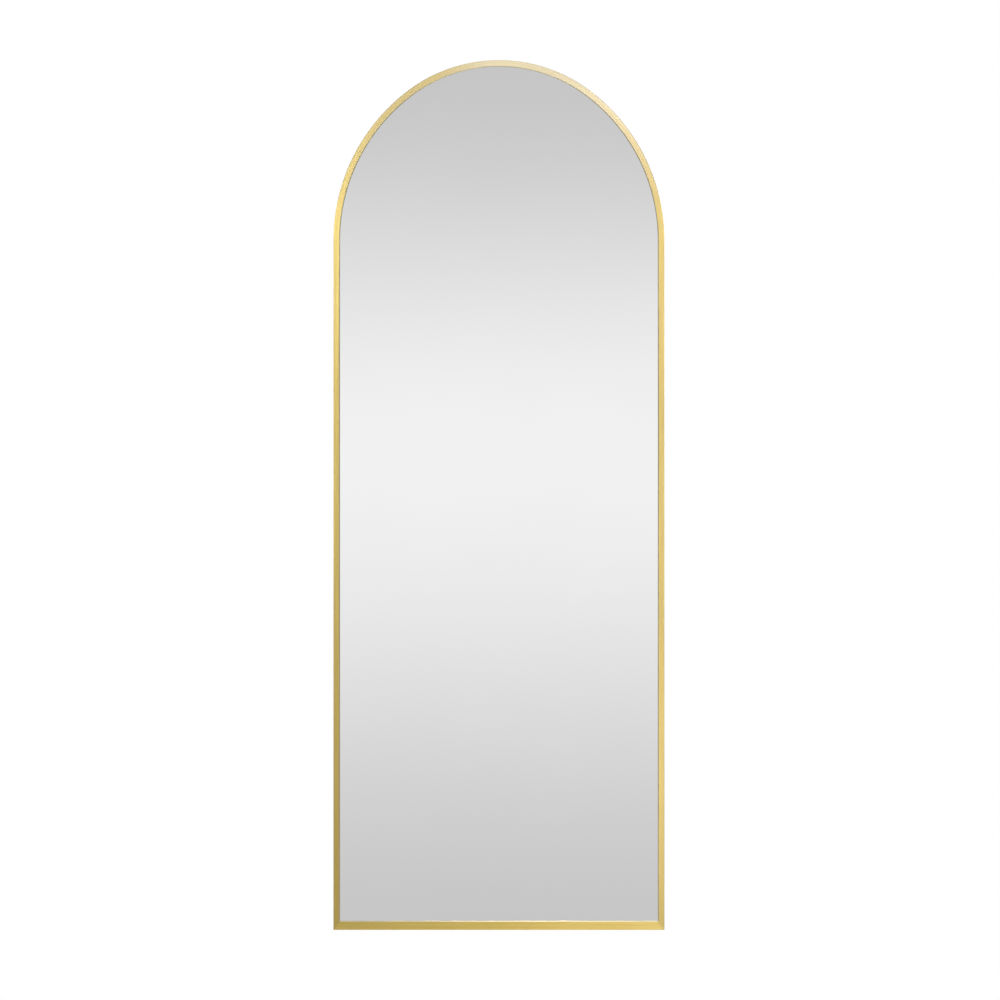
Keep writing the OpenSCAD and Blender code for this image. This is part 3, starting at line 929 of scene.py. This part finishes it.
def merged_copy(node: str, name: str) -> Object:
    """Copies a CAD node's mesh into a new piece with joined, simplified faces.

    Args:
        node: The CAD node's name.
        name: The new piece's name.

    Returns:
        The copy, in object mode.
    """
    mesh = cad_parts[node].data.copy()
    mesh.name = name
    piece = bpy.data.objects.new(name, mesh)
    bpy.context.scene.collection.objects.link(piece)
    edit(piece)
    bpy.ops.mesh.select_all(action="SELECT")
    bpy.ops.mesh.customdata_custom_splitnormals_clear()
    bpy.ops.mesh.remove_doubles(threshold=0.002 * MM)
    bpy.ops.mesh.dissolve_limited(angle_limit=math.radians(0.5))
    bpy.ops.object.mode_set(mode="OBJECT")
    return piece


def shifted_copy(piece: Object, name: str, shift: Vector) -> Object:
    """Copies a piece, with its own mesh, and moves the copy within its mesh.

    Args:
        piece: The piece to copy, in object mode.
        name: The copy's name.
        shift: How far to move the copy.

    Returns:
        The copy.
    """
    select_only(piece)
    bpy.ops.object.duplicate(linked=False)
    copy = bpy.context.object
    copy.name = copy.data.name = name
    copy.location = shift
    bpy.ops.object.transform_apply()
    return copy


def eased_copy(node: str, name: str, radius: float) -> Object:
    """Copies a CAD node and rounds its sharp edges, as deburring and plating leave them.

    Args:
        node: The CAD node's name.
        name: The new piece's name.
        radius: The edges' radius.

    Returns:
        The copy, which stands for the node.
    """
    piece = merged_copy(node, name)
    apply_modifier(
        piece, "BEVEL", width=radius, segments=2, limit_method="ANGLE",
        angle_limit=math.radians(50), use_clamp_overlap=True, miter_outer="MITER_ARC",
    )
    smooth(piece, angle=30)
    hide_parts(node)
    return piece


class Side(Enum):
    """Left or right, as a person sees who looks into the mirror."""

    LEFT = "left"
    RIGHT = "right"

    @property
    def sign(self) -> int:
        """The sign of X on this side."""
        return -1 if self is Side.LEFT else 1


def dress_nodes(finish: Finish, names: Iterable[str]) -> list[Object]:
    """Gives CAD nodes a finish.

    Args:
        finish: The finish.
        names: The nodes' names.

    Returns:
        The dressed nodes.
    """
    nodes = [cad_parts[name] for name in names]
    for node in nodes:
        finish.dress(node)
    return nodes


@dataclass
class GoldFrame:
    """The four rails of the frame, each brushed along its length."""

    colour: str = "#EACA68"

    def build(self) -> list[Object]:
        """Dresses the rails.

        Returns:
            The four rails.
        """
        low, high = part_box("arch_rail")
        arch = ArchCurve(half_width=high.x, spring_z=low.z, top_z=high.z)
        rails: list[Object] = []
        for grain, names in (
            (Grain.UPRIGHT, ("left_side_rail", "right_side_rail")),
            (Grain.LEVEL, ("bottom_rail",)),
            (Grain.ARCHED, ("arch_rail",)),
        ):
            gold = GoldAnodised(f"gold_anodised_{grain.value}", self.colour, grain, arch)
            rails += dress_nodes(gold, names)
        return rails


@dataclass
class RailJoinery:
    """The keys inside the rear channel and the screws that lock them."""

    def build(self) -> list[Object]:
        """Dresses the keys and screws.

        Returns:
            The keys and screws.
        """
        keys = [f"{side.value}_{key}" for side in Side for key in ("corner_key", "arch_joiner")]
        screws = ["corner_key_screws", "joiner_screws"]
        return dress_nodes(SawnAluminium(), keys) + dress_nodes(BrightZinc(), screws)


@dataclass
class Glazing:
    """The glass and what lies behind it, down to the springs that press it forward."""

    foam_edge_mm: float = 0.7

    def foam(self) -> Object:
        """Models the foam sheet with the soft rounded rim of a knife-cut foam edge.

        Returns:
            The sheet, which stands for the CAD node.
        """
        low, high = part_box("foam_sheet")
        piece = merged_copy("foam_sheet", "foam_underlay")
        edit(piece)
        for face_y in (low.y, high.y):
            pick(piece, "EDGE", at_depth(face_y))
            bpy.ops.mesh.bevel(offset=self.foam_edge_mm * MM, segments=3, affect="EDGES")
        bpy.ops.object.mode_set(mode="OBJECT")
        smooth(piece, angle=40)
        CellFoam().dress(piece)
        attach(piece, "mirror")
        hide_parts("foam_sheet")
        return piece

    def build(self) -> list[Object]:
        """Models the foam and dresses the rest.

        Returns:
            The layers, front to back.
        """
        return [
            *dress_nodes(SilveredGlass(), ["mirror_glass"]),
            *dress_nodes(ScrimFilm(), ["safety_film"]),
            self.foam(),
            *dress_nodes(Hardboard(), ["backing_board"]),
            *dress_nodes(BluedSpring(), ["frame_springs"]),
        ]


@dataclass
class HangingBars:
    """The two cross bars, the guides riveted to them, and the nuts for the thumbscrews."""

    edge_mm: float = 0.25

    def build(self) -> list[Object]:
        """Rounds the sheet parts' edges and dresses all.

        Returns:
            The bars and guides, and what is fixed to them.
        """
        bars = []
        for part in ("upper_cross_bar", "lower_cross_bar", "left_hook_guide", "right_hook_guide"):
            bar = eased_copy(part, f"{part}_pressing", self.edge_mm * MM)
            Galvanised().dress(bar)
            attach(bar, "mirror")
            bars.append(bar)
        small_parts = ["cross_bar_screws", "guide_rivets", "clamp_nuts"]
        return bars + dress_nodes(BrightZinc(), small_parts)


@dataclass
class DoorHook:
    """One strap hook, and the thumbscrew and washer that clamp it."""

    side: Side
    edge_mm: float = 0.45

    def build(self) -> list[Object]:
        """Rounds the strap's edges and dresses the metal.

        Returns:
            The strap, the thumbscrew and the washer.
        """
        name = self.side.value
        strap = eased_copy(f"{name}_door_hook", f"{name}_strap_hook", self.edge_mm * MM)
        PowderCoat().dress(strap)
        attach(strap, f"{name}_hook")
        low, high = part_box(f"{name}_thumbscrew")
        nickel = TurnedNickel(f"turned_nickel_{name}", centre=tuple((low + high) / 2))
        return [
            strap,
            *dress_nodes(nickel, [f"{name}_thumbscrew"]),
            *dress_nodes(BrightZinc(), [f"{name}_clamp_washer"]),
        ]


@dataclass
class HookPads:
    """Felt pads inside the hooks, a thick one before the door and a thin one behind it."""

    front_mm: float = 4.5
    lip_mm: float = 1.5
    corner_mm: float = 2.5
    rim_mm: float = 0.9
    swell_mm: float = 0.35
    nap_mm: float = 0.12
    weave_mm: float = 0.45

    def pad(self, name: str, low: Vector, high: Vector, way: int) -> Object:
        """Models a felt pad: round corners, a crowned face and a matted surface.

        Args:
            name: The piece's name.
            low: Lowest corner of the space the pad fills.
            high: Highest corner of that space.
            way: -1 if its free face is in front, 1 if it is behind.

        Returns:
            The pad.
        """
        nap = Vector((self.nap_mm, 0, self.nap_mm)) * MM
        swell = Vector((0, self.swell_mm * MM, 0))
        start, end = low + nap, high - nap
        if way < 0:
            start += swell
        else:
            end -= swell
        pad = crowned_block(
            name, start, end, way, self.corner_mm * MM, self.rim_mm * MM,
            (self.swell_mm - self.nap_mm) * MM, steps=(6, 4),
        )
        apply_modifier(pad, "REMESH", mode="VOXEL", voxel_size=self.weave_mm * MM)
        matting = bpy.data.textures.new(f"{name}_matting", "CLOUDS")
        matting.noise_scale = 2 * self.weave_mm * MM
        matting.noise_depth = 2
        apply_modifier(
            pad, "DISPLACE", texture=matting, strength=self.nap_mm * MM, mid_level=0.5,
            texture_coords="LOCAL",
        )
        smooth(pad, angle=60)
        return pad

    def build(self) -> list[Object]:
        """Models the left hook's two pads, copies them to the right one and dresses all four.

        Returns:
            The four pads.
        """
        low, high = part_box("left_hook_pads")
        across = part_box("right_hook_pads")[0] - low
        front_high = Vector((high.x, low.y + self.front_mm * MM, high.z))
        lip_low = Vector((low.x, high.y - self.lip_mm * MM, low.z))
        made: list[Object] = []
        for kind, start, end, way in (("front", low, front_high, 1), ("lip", lip_low, high, -1)):
            left = self.pad(f"left_{kind}_pad", start, end, way)
            right = shifted_copy(left, f"right_{kind}_pad", across)
            for side, pad in ((Side.LEFT, left), (Side.RIGHT, right)):
                PressedFelt().dress(pad)
                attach(pad, f"{side.value}_hook")
                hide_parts(f"{side.value}_hook_pads")
                made.append(pad)
        return made


@dataclass
class DoorBumpers:
    """Four moulded rubber strips that keep the frame off the door."""

    length_mm: float = 40.0
    width_mm: float = 6.0
    corner_mm: float = 2.4
    rim_mm: float = 1.6
    swell_mm: float = 1.0

    def build(self) -> list[Object]:
        """Models the lower left bumper, with a domed back, and copies it to the other places.

        Returns:
            The four bumpers.
        """
        low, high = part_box("door_bumpers")
        size = Vector((self.width_mm * MM, high.y - low.y, self.length_mm * MM))
        flat_top = low + size - Vector((0, self.swell_mm * MM, 0))
        first = crowned_block(
            "lower_left_bumper", low, flat_top, 1, self.corner_mm * MM, self.rim_mm * MM,
            self.swell_mm * MM, steps=(8, 6),
        )
        smooth(first, angle=50)
        far = high - size - low
        shifts = {
            "lower_right": (far.x, 0, 0), "upper_left": (0, 0, far.z),
            "upper_right": (far.x, 0, far.z),
        }
        copies = (
            shifted_copy(first, f"{place}_bumper", Vector(shift))
            for place, shift in shifts.items()
        )
        made = [first, *copies]
        for piece in made:
            MouldedRubber().dress(piece)
            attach(piece, "mirror")
            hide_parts("door_bumpers")
        return made


@dataclass(frozen=True)
class Softbox:
    """A square softbox that is aimed at a point and stays out of the picture."""

    name: str
    place: Triple
    aim: Triple
    watts: float
    colour: Triple = (1.0, 1.0, 1.0)
    size: float = 1.6

    def head(self) -> bpy.types.Light:
        """Makes the part that shines.

        Returns:
            The lamp's head.
        """
        head = bpy.data.lights.new(self.name, "AREA")
        head.shape = "SQUARE"
        head.size = self.size
        return head

    def build(self) -> None:
        """Makes the lamp and aims it."""
        head = self.head()
        head.energy = self.watts
        head.color = self.colour
        lamp = bpy.data.objects.new(self.name, head)
        lamp.location = self.place
        way = Vector(self.aim) - Vector(self.place)
        lamp.rotation_euler = way.to_track_quat("-Z", "Y").to_euler()
        lamp.visible_camera = False
        bpy.context.scene.collection.objects.link(lamp)


@dataclass(frozen=True)
class Snoot(Softbox):
    """A round lamp of this radius in a snoot, whose cone lights one part of the frame."""

    size: float = 0.2
    cone: float = 17.0

    def head(self) -> bpy.types.Light:
        """Makes the lamp's round face, and the cone that fades to its rim.

        Returns:
            The lamp's head.
        """
        head = bpy.data.lights.new(self.name, "SPOT")
        head.spot_size = math.radians(self.cone)
        head.spot_blend = 1.0
        head.shadow_soft_size = self.size
        return head


@dataclass(frozen=True)
class PhotoView:
    """The camera as it stood for the photograph: level, square on and well back."""

    distance: float = 4.5
    sensor: float = 36.0
    picture_px: float = 1000.0
    frame_width_px: float = 331.0
    middle_px: Pair = (498.95, 495.0)

    def build(self, low: Vector, high: Vector) -> None:
        """Makes the camera.

        Args:
            low: Lowest corner of the object.
            high: Highest corner of the object.
        """
        pixel = (high.x - low.x) / self.frame_width_px
        shift_x, shift_y = (self.picture_px / 2 - place for place in self.middle_px)
        data = bpy.data.cameras.new("photo_camera")
        data.sensor_width = self.sensor
        data.lens = self.sensor * self.distance / (pixel * self.picture_px)
        camera = bpy.data.objects.new("photo_camera", data)
        middle = (low + high) / 2
        camera.location = (
            middle.x + shift_x * pixel, low.y - self.distance, middle.z - shift_y * pixel
        )
        camera.rotation_euler = (math.pi / 2, 0.0, 0.0)
        bpy.context.scene.collection.objects.link(camera)
        bpy.context.scene.camera = camera


@dataclass(frozen=True)
class Room:
    """The light room round the object: a band of light in front, and what lies beyond it.

    The mirror shows the band, which is brightest at eye level and grey above and below. The
    gold also picks up the rest, since its brushing spreads what it reflects.
    """

    # Brightness of the band at each height above the horizon, in degrees.
    band: tuple[Pair, ...] = ((-7.2, 0.62), (0.8, 0.98), (7.0, 0.62))
    # Brightness just above and below the band, straight up, straight down and to the sides.
    beyond: float = 0.3
    ceiling: float = 0.6
    ground: float = 0.2
    walls: float = 0.3
    # Where the band has faded out above and below, in degrees.
    reach: float = 20.0
    # Sines of the angles at which the band starts to fade to the sides and has faded.
    band_edge: Pair = (0.06, 0.17)

    def heights(self, nodes: Nodes, height: NodeSocket) -> Node:
        """Adds the colours from the ground over the band to the ceiling.

        Args:
            nodes: The world's nodes.
            height: Height of the direction, from -1 to 1.

        Returns:
            The colour at that height.
        """
        share = nodes.add("MapRange", {"Value": height, "From Min": -1.0, "From Max": 1.0})
        ramp = nodes.add("ValToRGB", {"Fac": share})
        ramp.color_ramp.interpolation = "EASE"
        stops = ramp.color_ramp.elements
        stops[0].color = (self.ground,) * 3 + (1.0,)
        stops[-1].color = (self.ceiling,) * 3 + (1.0,)
        for angle, light in ((-self.reach, self.beyond), *self.band, (self.reach, self.beyond)):
            stop = stops.new((1 + math.sin(math.radians(angle))) / 2)
            stop.color = (light, light, light, 1.0)
        return ramp

    def build(self) -> None:
        """Makes the world, which is plain white where the camera looks past the object."""
        world = bpy.data.worlds.new("light_room")
        world.use_nodes = True
        world.node_tree.nodes.clear()
        nodes = Nodes(world.node_tree)
        way = nodes.add("TexCoord").outputs["Generated"]
        parts = nodes.add("SeparateXYZ", {"Vector": way}).outputs
        aside = nodes.add("Math", (parts["X"],), operation="ABSOLUTE")
        fade = nodes.add("MapRange", {
            "Value": aside, "From Min": self.band_edge[0], "From Max": self.band_edge[1],
        }, interpolation_type="SMOOTHSTEP")
        room = nodes.add("Mix", {
            "Factor": fade, "A": self.heights(nodes, parts["Z"]),
            "B": (self.walls, self.walls, self.walls, 1.0),
        }, data_type="RGBA")
        glow = nodes.add("Background", {"Color": room})
        white = nodes.add("Background", {"Color": "#FFFFFF"})
        seen = nodes.add("LightPath").outputs["Is Camera Ray"]
        mixed = nodes.add("MixShader", (seen, glow, white))
        nodes.add("OutputWorld", {"Surface": mixed})
        bpy.context.scene.world = world


@dataclass
class Studio:
    """The white studio: a paper floor, the room and the lamps."""

    floor_drop: float = 0.28
    floor_radius: float = 1.3
    room: Room = Room()
    # Watts of the lamps for each side rail, from its arch down to its foot, and their colours.
    rail_watts: tuple[tuple[float, ...], ...] = ((42.0, 16.0, 8.0, 3.0), (23.0, 22.0, 16.0, 28.0))
    rail_tints: tuple[Triple, Triple] = ((0.7, 0.75, 1.0), (0.6, 0.63, 1.0))
    # How far in front of the glass the snoots stand.
    stand_off: float = 2.0

    def rail_lamps(self, side: Side) -> list[Softbox]:
        """Sets one snooted lamp above the other beside a side rail.

        Args:
            side: The side that they light.

        Returns:
            The lamps.
        """
        row = 0 if side is Side.LEFT else 1
        stand, rail = 0.7 * side.sign, 0.2 * side.sign
        top, step = 0.3, 0.32
        lamps: list[Softbox] = []
        for count, watts in enumerate(self.rail_watts[row]):
            height = top - step * count
            place, aim = (stand, -self.stand_off, height), (rail, 0.0, height)
            name = f"{side.value}_rail_{count}"
            lamps.append(Snoot(name, place, aim, watts, self.rail_tints[row]))
        return lamps

    def lamps(self) -> list[Softbox]:
        """Lists the snooted lamps in front and the softboxes behind and beside.

        Returns:
            All the lamps.
        """
        front = -self.stand_off
        return [
            *self.rail_lamps(Side.LEFT), *self.rail_lamps(Side.RIGHT),
            Snoot("arch_right", (0.6, front, 0.9), (0.15, 0.0, 0.22), 18.0),
            Snoot("apex", (0.0, front, 1.1), (0.0, 0.0, 0.31), 16.0, cone=13.0),
            Snoot("bottom_rail", (0.15, front, 0.8), (0.12, 0.0, -0.75), 68.0),
            Snoot("bevel", (0.06, -0.75, 1.45), (0.06, 0.0, -0.75), 9.0, size=0.15, cone=12.0),
            Softbox("overhead", (0.0, 1.5, 2.4), (0.0, 0.0, -1.0), 16.0),
            Softbox("left_side", (-2.4, 0.9, 0.2), (-0.2, 0.0, -0.2), 14.0, size=1.2),
            Softbox("right_side", (2.4, 0.9, 0.2), (0.2, 0.0, -0.2), 18.0, size=1.2),
            Softbox("back_light", (0.6, 2.4, 1.2), (0.0, 0.0, -0.2), 34.0),
        ]

    def floor(self, low: Vector) -> None:
        """Lays the paper floor.

        Args:
            low: Lowest corner of the object that hangs over it.
        """
        select_only()
        bpy.ops.mesh.primitive_circle_add(
            vertices=96, radius=self.floor_radius, fill_type="NGON",
            location=(0, 0, low.z - self.floor_drop),
        )
        floor = bpy.context.object
        floor.name = "paper_floor"
        bpy.ops.object.transform_apply()
        StudioPaper(radius=self.floor_radius).dress(floor)
        floor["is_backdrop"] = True

    def build(self, low: Vector, high: Vector) -> None:
        """Sets up the room, the lamps and the camera.

        Args:
            low: Lowest corner of the object.
            high: Highest corner of the object.
        """
        bpy.context.scene.view_settings.view_transform = "Standard"
        self.room.build()
        self.floor(low)
        for lamp in self.lamps():
            lamp.build()
        PhotoView().build(low, high)


def main() -> None:
    """Builds every sub-assembly in order, then the studio round it."""
    logging.basicConfig(level=logging.INFO, format="%(name)s: %(message)s")
    cad_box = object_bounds()
    assemblies = (
        GoldFrame(), RailJoinery(), Glazing(), HangingBars(),
        DoorHook(Side.LEFT), DoorHook(Side.RIGHT), HookPads(), DoorBumpers(),
    )
    for assembly in assemblies:
        for piece in assembly.build():
            faces = len(piece.data.polygons)
            LOG.info("%s: %s, %d faces", type(assembly).__name__, piece.name, faces)
    Studio().build(*cad_box)


if __name__ == "__main__":
    main()
